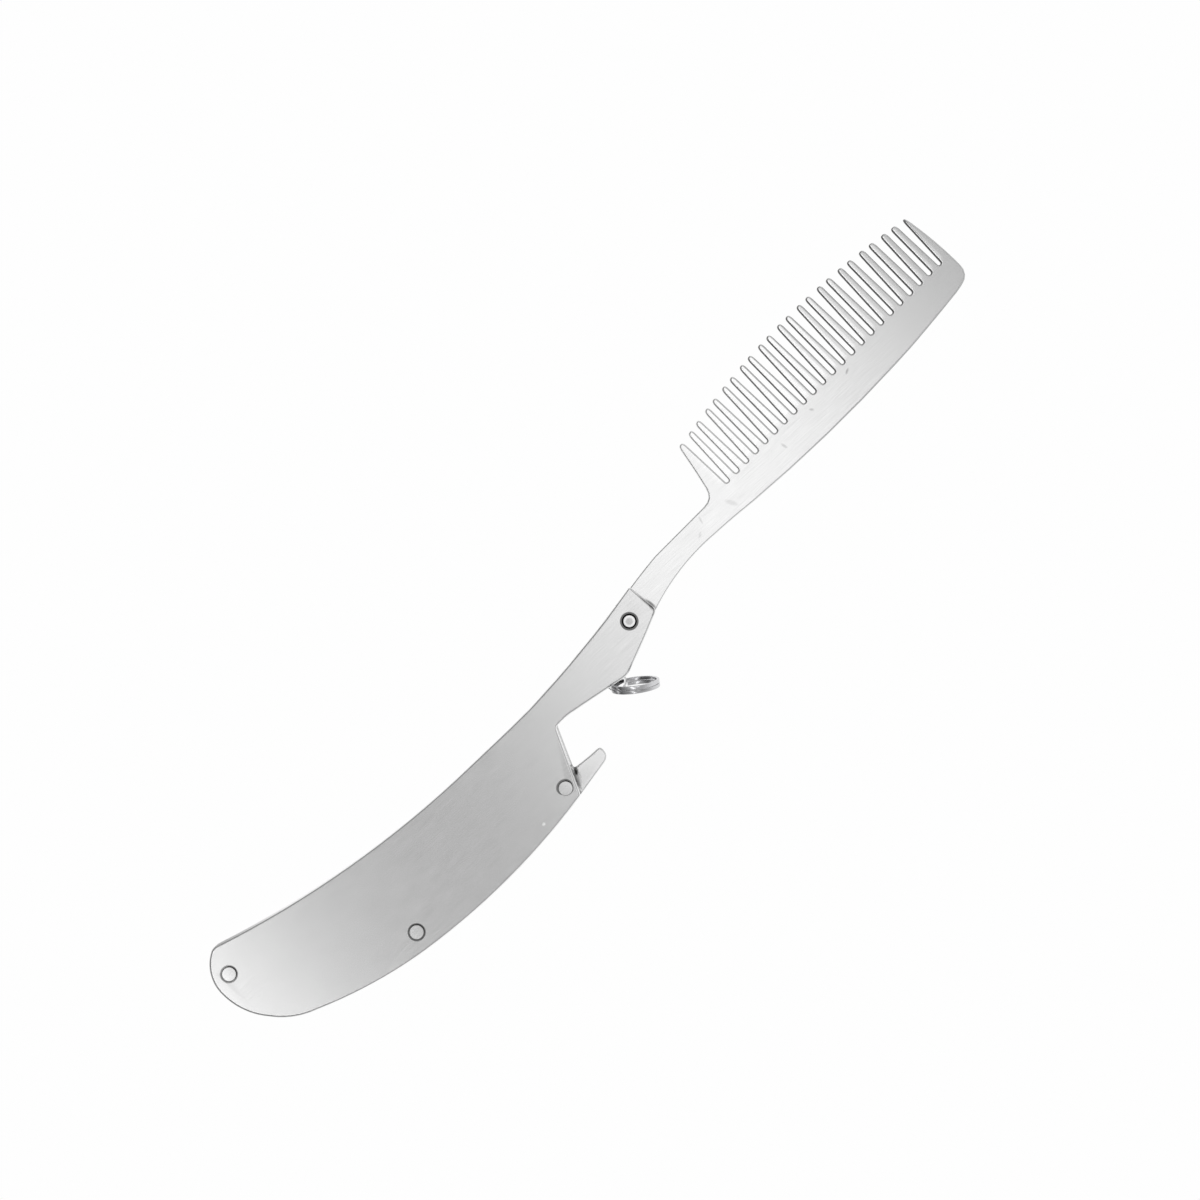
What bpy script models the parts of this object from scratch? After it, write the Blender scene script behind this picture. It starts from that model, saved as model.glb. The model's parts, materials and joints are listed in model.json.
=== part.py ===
"""Folding steel comb with a bottle opener in its handle, lying open on its back scale.

Sizes are millimetres from the pivot rivet: +X towards the comb's free end, +Y towards the
teeth, +Z up from the surface that the handle lies on. Two scales hold a thinner plate
between them, which carries the opener's claw and the eye of the key ring. The comb turns
about the pivot rivet and folds in between the scales.
"""
import math
from collections import namedtuple

import bmesh
import bpy
from mathutils import Matrix, Vector

MM = 0.001

# Thickness of each layer, and the play left on both faces of the middle one.
SCALE_THICK = 0.9
LAYER_PLAY = 0.3
STEEL_THICK = 1.2

BACK_Z = 0.0
MIDDLE_Z = BACK_Z + SCALE_THICK + LAYER_PLAY
FRONT_Z = MIDDLE_Z + STEEL_THICK + LAYER_PLAY
TOP_Z = FRONT_Z + SCALE_THICK

# Rivets: a thin shank with a flat cone head that lies flush in each scale.
SHANK_R = 0.7
SHANK_HOLE_R = 1.0
HEAD_SEAT_R = 1.5
HEAD_DEPTH = 0.55
HEAD_SUNK = 0.04
HEAD_PROUD = 0.08
PIVOT_HOLE_R = 0.78
ROUND_SIDES = 40

Rivet = namedtuple("Rivet", "name x y head_r")
RIVETS = (
    Rivet("rivet_pivot", 0.0, 0.0, 1.02),
    Rivet("rivet_opener", -26.6, -13.35, 1.2),
    Rivet("rivet_middle", -61.05, -14.25, 1.2),
    Rivet("rivet_tail", -88.8, 1.7, 1.2),
)
PIVOT = RIVETS[0]

# An outline runs counterclockwise. Each row is a corner, how far back its rounding starts,
# and how far the edge to the next row bulges out of its chord (negative: into the metal).
# A fifth number is how far on the rounding ends, where that isn't the same distance.
Corner = namedtuple("Corner", "x y round bow leave", defaults=(None,))

TAIL_AND_BELLY = (
    Corner(-87.8, 6.8, 0.8, 1.14),
    Corner(-92.0, 0.4, 0.0, 0.85),
    Corner(-88.7, -8.0, 0.0, 0.6),
    Corner(-82.0, -12.55, 0.0, 0.67),
    Corner(-62.0, -17.5, 0.0, 1.37),
)
SCALE_OUTLINE = (
    Corner(3.85, 4.22, 0.3, -0.42),
    Corner(-22.0, 0.49, 0.0, -0.07),
    Corner(-36.0, 0.14, 0.0, -1.97),
    *TAIL_AND_BELLY,
    Corner(-25.5, -15.9, 0.25, 0.0),
    Corner(-20.9, -4.72, 0.5, 0.0),
    Corner(-18.2, -4.62, 0.8, 0.0),
    Corner(-6.4, -6.46, 0.9, 0.13),
    Corner(4.72, -1.6, 0.8, 0.05),
)

# The middle plate: opener claw, opener edge, arm to the ring's eye, then back along the
# folded comb's path, round the rivets and up the tail to the spine.
OPENER_OUTLINE = (
    *TAIL_AND_BELLY,
    Corner(-25.15, -15.8, 0.0, 0.0),
    Corner(-17.72, -14.3, 1.3, 0.0),
    Corner(-17.72, -12.14, 0.7, -0.1),
    Corner(-23.45, -11.87, 0.6, 0.0),
    Corner(-20.6, -4.66, 0.5, 0.0),
    Corner(-18.2, -4.52, 0.8, 0.0),
    Corner(-10.4, -5.7, 0.3, 0.0),
    Corner(-10.13, -6.01, 0.0, 1.74),
    Corner(-6.65, -6.01, 0.0, 0.0),
    Corner(-6.5, -4.4, 0.6, 0.0),
    Corner(-23.7, -2.5, 1.0, 0.0),
    Corner(-26.4, -9.0, 1.0, 0.0),
    Corner(-29.3, -13.8, 1.5, 0.7),
    Corner(-57.6, -14.7, 1.0, 0.0),
    Corner(-59.6, -11.9, 1.5, 0.0),
    Corner(-62.6, -11.9, 1.5, 0.0),
    Corner(-64.6, -13.9, 1.0, 0.6),
    Corner(-81.75, -8.7, 1.5, -0.29),
    Corner(-82.0, 5.2, 0.3, 0.0),
)
RING_EYE = (-8.44, -6.01)
RING_EYE_R = 1.354

# Wedge ground out of the claw's root: its plan, and how deep it is at each corner.
Wedge = namedtuple("Wedge", "x y depth")
WEDGE_PLAN = (
    Wedge(-23.9, -10.9, 0.7),
    Wedge(-25.6, -15.9, 0.3),
    Wedge(-24.75, -15.35, 0.06),
    Wedge(-23.35, -13.6, 0.06),
    Wedge(-22.6, -11.4, 0.06),
)

# The comb's back and end, from under the scales to its last tooth, and the heel and neck.
LAST_TIP_ROUND = 0.24
COMB_BACK = (
    Corner(3.6, -2.05, 0.0, -0.87),
    Corner(20.0, 1.03, 0.0, -0.07),
    Corner(29.0, 0.72, 0.0, 0.64),
    Corner(66.0, 1.95, 0.0, 0.05),
    Corner(77.5, 3.55, 0.0, 0.0),
    Corner(81.05, 4.38, 2.2, 0.37),
    Corner(79.4, 18.5, 1.4, 0.0, LAST_TIP_ROUND),
)
COMB_NECK = (
    Corner(25.75, 15.95, 0.42, -0.1, 1.0),
    Corner(24.05, 5.72, 2.0, 0.05),
    Corner(10.5, 5.15, 0.0, 0.07),
    Corner(2.6, 3.8, 1.5, 0.0),
)
TANG_R = 3.1
TANG_FROM_DEG = 100.0
TANG_TO_DEG = 265.0

# Teeth: the slots' round ends lie on one line. Every second slot is wider and flares less.
SLOT_COUNT = 23
FIRST_SLOT = (27.9, 6.04)
SLOT_LINE_DEG = 3.15
SLOT_LEAN_DEG = 2.2
SLOT_PITCH = 2.306
SLOT_WIDTH = (0.67, 0.82)
SLOT_FLARE = (0.039, 0.0095)
TIP_ROUND = 0.44
TIP_SHOULDER = 0.9

# The teeth's tips lie on one arc, given by its ends and by how far it bulges.
TIP_ARC = ((26.2, 15.85), (78.85, 18.5))
TIP_ARC_BOW = 2.52

# Split ring: flat wire in two turns side by side, which cross over once. It leans through
# the eye with its foot at the surface. Wire sizes are half the wire's own.
RING_R = 3.85
RING_WIRE_RADIAL = 0.23
RING_WIRE_AXIAL = 0.31
RING_WIRE_CHAMFER = 0.09
RING_COIL_OFFSET = 0.34
RING_CROSSOVER_TURNS = 0.181
RING_END_GAP_TURNS = 0.012
RING_TURNS = 2 - RING_CROSSOVER_TURNS - RING_END_GAP_TURNS
RING_START_TURN = 0.697
RING_CENTRE = (-6.41, -8.5)
RING_LONG_AXIS_DEG = -34.6
RING_LEAN_DEG = 9.3
RING_FOOT_Z = 0.0
RING_STEPS_A_TURN = 48

FILLET_STEPS = 4
CHORD_ERROR = 0.008
CLEAR = 1.0


class Edge:
    """Arc from one corner to the next that stands `bow` to the right of its chord."""

    def __init__(self, start, end, bow):
        chord = end - start
        self.start = start
        self.end = end
        self.along = chord.normalized()
        self.out = Vector((self.along.y, -self.along.x))
        half = chord.length / 2
        self.straight = abs(bow) < 1e-6
        if self.straight:
            self.length = chord.length
            return
        self.radius = (half * half + bow * bow) / (2 * bow)
        self.half_sweep = 2 * math.atan(bow / half)
        self.centre = (start + end) / 2 + self.out * (bow - self.radius)
        self.length = abs(2 * self.radius * self.half_sweep)

    def point(self, t):
        """Point at the share t of the way along."""
        if self.straight:
            return self.start.lerp(self.end, t)
        angle = (2 * t - 1) * self.half_sweep
        spoke = self.out * math.cos(angle) + self.along * math.sin(angle)
        return self.centre + spoke * self.radius

    def steps(self):
        """Number of facets that keeps the arc within the chord error."""
        if self.straight:
            return 1
        facet = math.sqrt(8 * abs(self.radius) * CHORD_ERROR)
        return max(2, math.ceil(self.length / facet))


def fillet(start, corner, end):
    """Points strictly between start and end on the curve that rounds the corner."""
    shares = [k / FILLET_STEPS for k in range(1, FILLET_STEPS)]
    return [start.lerp(corner, t).lerp(corner.lerp(end, t), t) for t in shares]


def leaving(corner):
    """How far past the corner its rounding ends."""
    return corner.round if corner.leave is None else corner.leave


def outline(corners):
    """Closed polygon of a table of corners, with its arcs and rounded corners in facets."""
    spots = [Vector((c.x, c.y)) for c in corners]
    count = len(corners)
    edges = [Edge(spots[i], spots[(i + 1) % count], corners[i].bow) for i in range(count)]
    points = []
    for i, edge in enumerate(edges):
        following = (i + 1) % count
        first = leaving(corners[i]) / edge.length
        last = 1 - corners[following].round / edge.length
        steps = edge.steps()
        run = [edge.point(first + (last - first) * k / steps) for k in range(steps + 1)]
        rounding = corners[following].round
        if rounding:
            next_edge = edges[following]
            end = next_edge.point(leaving(corners[following]) / next_edge.length)
            run += fillet(run[-1], spots[following], end)
        else:
            run.pop()
        points += run
    return points


def turn(point, degrees):
    """The flat point turned about the pivot."""
    return Matrix.Rotation(math.radians(degrees), 2) @ point


def height_to_tips(foot, direction, centre, radius):
    """How far a tooth's wall runs from its foot until it meets the arc of the tips."""
    offset = foot - centre
    along = offset.dot(direction)
    return -along + math.sqrt(along * along - offset.length_squared + radius * radius)


def teeth():
    """Corners of all slots and tips, from the comb's free end back to the neck."""
    line = turn(Vector((1, 0)), SLOT_LINE_DEG)
    deep = turn(Vector((0, 1)), SLOT_LEAN_DEG)
    tips = Edge(Vector(TIP_ARC[1]), Vector(TIP_ARC[0]), TIP_ARC_BOW)
    rows = []
    for slot in reversed(range(SLOT_COUNT)):
        middle = Vector(FIRST_SLOT) + line * SLOT_PITCH * slot
        width = SLOT_WIDTH[slot % 2]
        flare = SLOT_FLARE[slot % 2]
        rounding = width * 0.49
        walls = []
        for side in (1, -1):
            foot = middle + line * side * width / 2
            wall = (deep + line * side * flare).normalized()
            tip = foot + wall * height_to_tips(foot, wall, tips.centre, tips.radius)
            walls.append((foot, tip))
        (right_foot, right_tip), (left_foot, left_tip) = walls
        rows.append(Corner(*right_tip, TIP_ROUND, 0.0, TIP_SHOULDER))
        rows.append(Corner(*right_foot, rounding, 0.0))
        rows.append(Corner(*left_foot, rounding, 0.0))
        rows.append(Corner(*left_tip, TIP_SHOULDER, 0.0, TIP_ROUND))
    return rows


def comb_corners():
    """Whole comb: back, end, teeth, neck and the round tang about the pivot."""
    half_sweep = math.radians(TANG_TO_DEG - TANG_FROM_DEG) / 2
    start = turn(Vector((TANG_R, 0)), TANG_FROM_DEG)
    end = turn(Vector((TANG_R, 0)), TANG_TO_DEG)
    tang = [
        Corner(*start, 0.0, TANG_R * (1 - math.cos(half_sweep))),
        Corner(*end, 0.0, 0.2),
    ]
    slots = teeth()
    slots[0] = slots[0]._replace(round=LAST_TIP_ROUND)
    return [*COMB_BACK, *slots, *COMB_NECK, *tang]


def steel(name, colour, roughness):
    """Principled BSDF of bare stainless steel."""
    material = bpy.data.materials.new(name)
    material.use_nodes = True
    shader = material.node_tree.nodes["Principled BSDF"]
    shader.inputs["Base Color"].default_value = (*colour, 1.0)
    shader.inputs["Metallic"].default_value = 1.0
    shader.inputs["Roughness"].default_value = roughness
    return material


def add_object(name, bm, parent, material=None):
    """Turn a bmesh in millimetres into an object of the scene."""
    bmesh.ops.recalc_face_normals(bm, faces=bm.faces)
    bmesh.ops.scale(bm, vec=(MM, MM, MM), verts=bm.verts)
    mesh = bpy.data.meshes.new(name)
    bm.to_mesh(mesh)
    bm.free()
    obj = bpy.data.objects.new(name, mesh)
    bpy.context.collection.objects.link(obj)
    obj.parent = parent
    if material:
        mesh.materials.append(material)
    return obj


def prism(points, low, high):
    """Bmesh of a flat polygon raised from low to high."""
    bm = bmesh.new()
    face = bm.faces.new([bm.verts.new((p[0], p[1], low)) for p in points])
    raised = bmesh.ops.extrude_face_region(bm, geom=[face])["geom"]
    corners = [item for item in raised if isinstance(item, bmesh.types.BMVert)]
    bmesh.ops.translate(bm, verts=corners, vec=(0, 0, high - low))
    return bm


def turned(profile, x, y):
    """Bmesh of a profile of (radius, height) rows, first and last on the axis, spun round."""
    bm = bmesh.new()
    verts = [bm.verts.new((x + r, y, z)) for r, z in profile]
    edges = [bm.edges.new(pair) for pair in zip(verts, verts[1:])]
    bmesh.ops.spin(
        bm, geom=verts + edges, cent=(x, y, 0), axis=(0, 0, 1),
        angle=2 * math.pi, steps=ROUND_SIDES, use_merge=True,
    )
    bmesh.ops.remove_doubles(bm, verts=bm.verts, dist=1e-4)
    return bm


def smooth_round(obj):
    """Shade a round piece smooth between its sharp rims."""
    obj.data.shade_smooth()
    obj.data.set_sharp_from_angle(angle=math.radians(30))


def cut(obj, name, bm, parent):
    """Take a cutter's shape out of a piece."""
    cutter = add_object(name, bm, parent)
    cutter.hide_render = True
    cutter.display_type = "WIRE"
    modifier = obj.modifiers.new(name, "BOOLEAN")
    modifier.operation = "DIFFERENCE"
    modifier.solver = "EXACT"
    modifier.object = cutter


def straight_hole(obj, name, x, y, radius, parent):
    """Drill through the middle layer."""
    low = MIDDLE_Z - CLEAR
    high = MIDDLE_Z + STEEL_THICK + CLEAR
    profile = ((0, low), (radius, low), (radius, high), (0, high))
    cut(obj, name, turned(profile, x, y), parent)


def countersunk_hole(obj, rivet, outer_z, inward, parent):
    """Seat of a rivet's head, wide at the scale's outer face and narrowing inwards."""
    slope = (HEAD_SEAT_R - SHANK_HOLE_R) / SCALE_THICK
    profile = (
        (0, outer_z - inward * CLEAR),
        (HEAD_SEAT_R + slope * CLEAR, outer_z - inward * CLEAR),
        (SHANK_HOLE_R, outer_z + inward * SCALE_THICK),
        (SHANK_HOLE_R, outer_z + inward * (SCALE_THICK + LAYER_PLAY / 2)),
        (0, outer_z + inward * (SCALE_THICK + LAYER_PLAY / 2)),
    )
    cut(obj, f"seat_{rivet.name}_in_{obj.name}", turned(profile, rivet.x, rivet.y), parent)


def scale_plate(name, low, outer_z, inward, parent, material):
    """One scale of the handle with the seats of its four rivets."""
    obj = add_object(name, prism(outline(SCALE_OUTLINE), low, low + SCALE_THICK), parent, material)
    for rivet in RIVETS:
        countersunk_hole(obj, rivet, outer_z, inward, parent)
    return obj


def wedge_cutter():
    """Sloping cut that falls from the claw's face to the scale's edge."""
    bm = prism(WEDGE_PLAN, MIDDLE_Z, MIDDLE_Z + STEEL_THICK + LAYER_PLAY / 2)
    for vert in bm.verts:
        if vert.co.z < MIDDLE_Z + STEEL_THICK / 2:
            row = min(WEDGE_PLAN, key=lambda w: (vert.co.xy - Vector((w.x, w.y))).length)
            vert.co.z = MIDDLE_Z + STEEL_THICK - row.depth
    bmesh.ops.triangulate(bm, faces=[face for face in bm.faces if len(face.verts) > 4])
    return bm


def opener_plate(parent, material):
    """Middle plate with the claw, the rivet holes and the eye of the ring."""
    top = MIDDLE_Z + STEEL_THICK
    obj = add_object("opener_plate", prism(outline(OPENER_OUTLINE), MIDDLE_Z, top), parent, material)
    for rivet in RIVETS[1:]:
        straight_hole(obj, f"hole_{rivet.name}", rivet.x, rivet.y, SHANK_HOLE_R, parent)
    straight_hole(obj, "hole_ring_eye", *RING_EYE, RING_EYE_R, parent)
    cut(obj, "claw_wedge", wedge_cutter(), parent)


def comb_blade(parent, material):
    """Comb with neck, teeth and pivot hole."""
    top = MIDDLE_Z + STEEL_THICK
    obj = add_object("comb_blade", prism(outline(comb_corners()), MIDDLE_Z, top), parent, material)
    straight_hole(obj, "hole_comb_pivot", PIVOT.x, PIVOT.y, PIVOT_HOLE_R, parent)


def rivet_piece(rivet, parent, material):
    """Shank and two cone heads in one turned piece, the front head a little proud."""
    back = BACK_Z + HEAD_SUNK
    front = TOP_Z
    profile = (
        (0, back),
        (rivet.head_r, back),
        (SHANK_R, back + HEAD_DEPTH),
        (SHANK_R, front - HEAD_DEPTH),
        (rivet.head_r, front),
        (rivet.head_r - HEAD_PROUD, front + HEAD_PROUD),
        (0, front + HEAD_PROUD),
    )
    obj = add_object(rivet.name, turned(profile, rivet.x, rivet.y), parent, material)
    smooth_round(obj)


def wire_section():
    """Chamfered outline of the ring's wire, as rows of (outwards, along the ring's axis)."""
    wide = RING_WIRE_RADIAL
    tall = RING_WIRE_AXIAL
    short = RING_WIRE_CHAMFER
    quarter = [(wide, tall - short), (wide - short, tall)]
    left = [(-out, up) for out, up in reversed(quarter)]
    return quarter + left + [(-out, -up) for out, up in quarter + left]


def coil_offset(turns):
    """How far along the ring's axis the wire lies after so many turns."""
    share = (turns - RING_TURNS / 2) / RING_CROSSOVER_TURNS + 0.5
    share = min(max(share, 0.0), 1.0)
    eased = share * share * (3 - 2 * share)
    return RING_COIL_OFFSET * (1 - 2 * eased)


def ring_centre_height():
    """Height of the ring's middle when its lower coil stands on the surface."""
    lean = math.radians(RING_LEAN_DEG)
    half_width = RING_COIL_OFFSET + RING_WIRE_AXIAL
    outer = RING_R + RING_WIRE_RADIAL
    return RING_FOOT_Z + outer * math.cos(lean) + half_width * math.sin(lean)


def key_ring(parent, material):
    """Two coils of flat wire, closed by a cap at each end."""
    bm = bmesh.new()
    section = wire_section()
    rings = []
    for step in range(round(RING_TURNS * RING_STEPS_A_TURN) + 1):
        turns = step / RING_STEPS_A_TURN
        angle = 2 * math.pi * (turns + RING_START_TURN)
        loop = []
        for out, up in section:
            radius = RING_R + out
            height = coil_offset(turns) + up
            spot = (radius * math.cos(angle), radius * math.sin(angle), height)
            loop.append(bm.verts.new(spot))
        rings.append(loop)
    for near, far in zip(rings, rings[1:]):
        for side in range(len(section)):
            following = (side + 1) % len(section)
            bm.faces.new((near[side], near[following], far[following], far[side]))
    bm.faces.new(rings[0])
    bm.faces.new(rings[-1])
    obj = add_object("key_ring", bm, parent, material)
    smooth_round(obj)
    obj.location = Vector((*RING_CENTRE, ring_centre_height())) * MM
    stand = Matrix.Rotation(math.radians(90 + RING_LEAN_DEG), 4, "X")
    heading = Matrix.Rotation(math.radians(RING_LONG_AXIS_DEG), 4, "Z")
    obj.rotation_euler = (heading @ stand).to_euler()


def frame_empty(name, location):
    """Empty that carries pieces, placed where the pivot stands in the part's frame."""
    empty = bpy.data.objects.new(name, None)
    bpy.context.collection.objects.link(empty)
    empty.location = location
    return empty


def pivot_in_part_frame():
    """Pivot's place when the origin is the middle of the open comb's footprint."""
    points = outline(SCALE_OUTLINE) + outline(comb_corners())
    xs = [p.x for p in points]
    ys = [p.y for p in points]
    return Vector((-(min(xs) + max(xs)) / 2, -(min(ys) + max(ys)) / 2, 0)) * MM


def build():
    """Clear the scene and model every piece."""
    for obj in list(bpy.data.objects):
        bpy.data.objects.remove(obj, do_unlink=True)
    pivot = pivot_in_part_frame()
    handle = frame_empty("handle_frame", pivot)
    fold_axis = frame_empty("fold_axis", pivot)
    satin = steel("satin_stainless_steel", (0.62, 0.62, 0.62), 0.35)
    blade = steel("polished_stainless_steel", (0.72, 0.72, 0.72), 0.28)
    rivets = steel("rivet_steel", (0.58, 0.58, 0.58), 0.3)
    wire = steel("ring_wire", (0.6, 0.6, 0.61), 0.22)
    scale_plate("scale_back", BACK_Z, BACK_Z, 1, handle, satin)
    scale_plate("scale_front", FRONT_Z, TOP_Z, -1, handle, satin)
    opener_plate(handle, blade)
    for rivet in RIVETS:
        rivet_piece(rivet, handle, rivets)
    key_ring(handle, wire)
    comb_blade(fold_axis, blade)


build()
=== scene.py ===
"""Looks of a folding steel comb with a bottle opener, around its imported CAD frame.

The comb lies open on a white light table under two wide softboxes, seen from straight
above. Sizes are millimetres from the pivot rivet unless a name says otherwise.
"""

import json
import logging
import math
from dataclasses import dataclass, field
from enum import Enum

import bmesh
import bpy
from mathutils import Matrix, Vector


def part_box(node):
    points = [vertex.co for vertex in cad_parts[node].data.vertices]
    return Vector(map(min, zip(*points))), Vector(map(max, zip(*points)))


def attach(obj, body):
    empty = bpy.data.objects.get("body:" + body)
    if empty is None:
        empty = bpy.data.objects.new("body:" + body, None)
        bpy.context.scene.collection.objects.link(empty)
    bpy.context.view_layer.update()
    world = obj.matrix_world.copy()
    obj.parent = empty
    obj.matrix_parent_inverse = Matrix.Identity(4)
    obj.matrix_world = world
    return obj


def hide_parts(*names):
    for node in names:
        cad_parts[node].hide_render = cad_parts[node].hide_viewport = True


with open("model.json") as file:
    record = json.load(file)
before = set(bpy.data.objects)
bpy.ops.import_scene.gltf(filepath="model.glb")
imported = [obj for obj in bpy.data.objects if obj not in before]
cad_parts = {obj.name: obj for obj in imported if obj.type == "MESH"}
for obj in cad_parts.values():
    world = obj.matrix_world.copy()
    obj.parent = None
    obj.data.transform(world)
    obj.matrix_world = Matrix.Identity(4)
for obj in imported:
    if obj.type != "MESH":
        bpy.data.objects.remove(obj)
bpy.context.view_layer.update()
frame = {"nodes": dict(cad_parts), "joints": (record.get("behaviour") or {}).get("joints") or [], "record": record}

MM = 0.001
# The pivot's place, down on the table.
PIVOT = Vector(frame["joints"][0]["pos_m"]) * Vector((1, 1, 0))
Socket = bpy.types.NodeSocket
NodeTree = bpy.types.NodeTree
NodeValue = float | tuple[float, ...] | Socket
log = logging.getLogger("folding_comb")

# Numbers of a colour Mix node's sockets.
FIRST_COLOUR = 6
SECOND_COLOUR = 7
MIXED_COLOUR = 2

# The sRGB curve: a straight foot up to its knee, then a power.
SRGB_KNEE = 0.04045
SRGB_FOOT = 12.92
SRGB_OFFSET = 0.055
SRGB_POWER = 2.4

# Points of generated meshes that are closer than this are one point.
WELD = 0.0001
# The rounded body of a plate lies this much inside the CAD solid that it is cut with.
SKIN = 0.002
# Limits of an outline's rounding: share of a bend's radius, change along the edge, longest
# miter, and the bend in radians below which an edge counts as straight.
TIGHTEST = 0.85
GRADUAL = 0.5
SHARPEST = 0.5
STRAIGHT = 1e-6


class Layer(Enum):
    """Where a plate lies in the handle's stack."""

    OUTER = "scale"
    INNER = "blade"


def linear(hex_colour: str) -> tuple[float, float, float, float]:
    """Turn an sRGB colour into the linear one that shaders take.

    Args:
        hex_colour: colour such as "#c8c8c8".

    Returns:
        Linear red, green, blue and alpha.
    """
    parts = [int(hex_colour[i:i + 2], 16) / 255 for i in (1, 3, 5)]
    red, green, blue = (
        part / SRGB_FOOT if part <= SRGB_KNEE
        else ((part + SRGB_OFFSET) / (1 + SRGB_OFFSET)) ** SRGB_POWER
        for part in parts
    )
    return red, green, blue, 1.0


def place(x: float, y: float, z: float = 0.0) -> Vector:
    """Turn millimetres from the pivot into the frame's metres."""
    return PIVOT + Vector((x, y, z)) * MM


def add(
    tree: NodeTree,
    kind: str,
    inputs: dict[str | int, NodeValue] | None = None,
    **settings: object,
) -> bpy.types.Node:
    """Add a node with its settings, values and links.

    Args:
        tree: tree that gets the node.
        kind: the node's type.
        inputs: value or linked socket for each input, by name or number.
        settings: properties of the node.

    Returns:
        The new node.
    """
    node = tree.nodes.new(kind)
    for name, value in settings.items():
        setattr(node, name, value)
    for key, value in (inputs or {}).items():
        if isinstance(value, Socket):
            tree.links.new(value, node.inputs[key])
        else:
            node.inputs[key].default_value = value
    return node


@dataclass(frozen=True)
class Mark:
    """An oval where steel is worn, or where painted shade or a painted highlight lies.

    It has its middle, its two sizes, the angle of its length in degrees, how strongly it
    shows and the share of its radius over which it fades.
    """

    x: float
    y: float
    length: float
    width: float
    angle: float
    depth: float
    soft: float = 0.8


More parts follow.
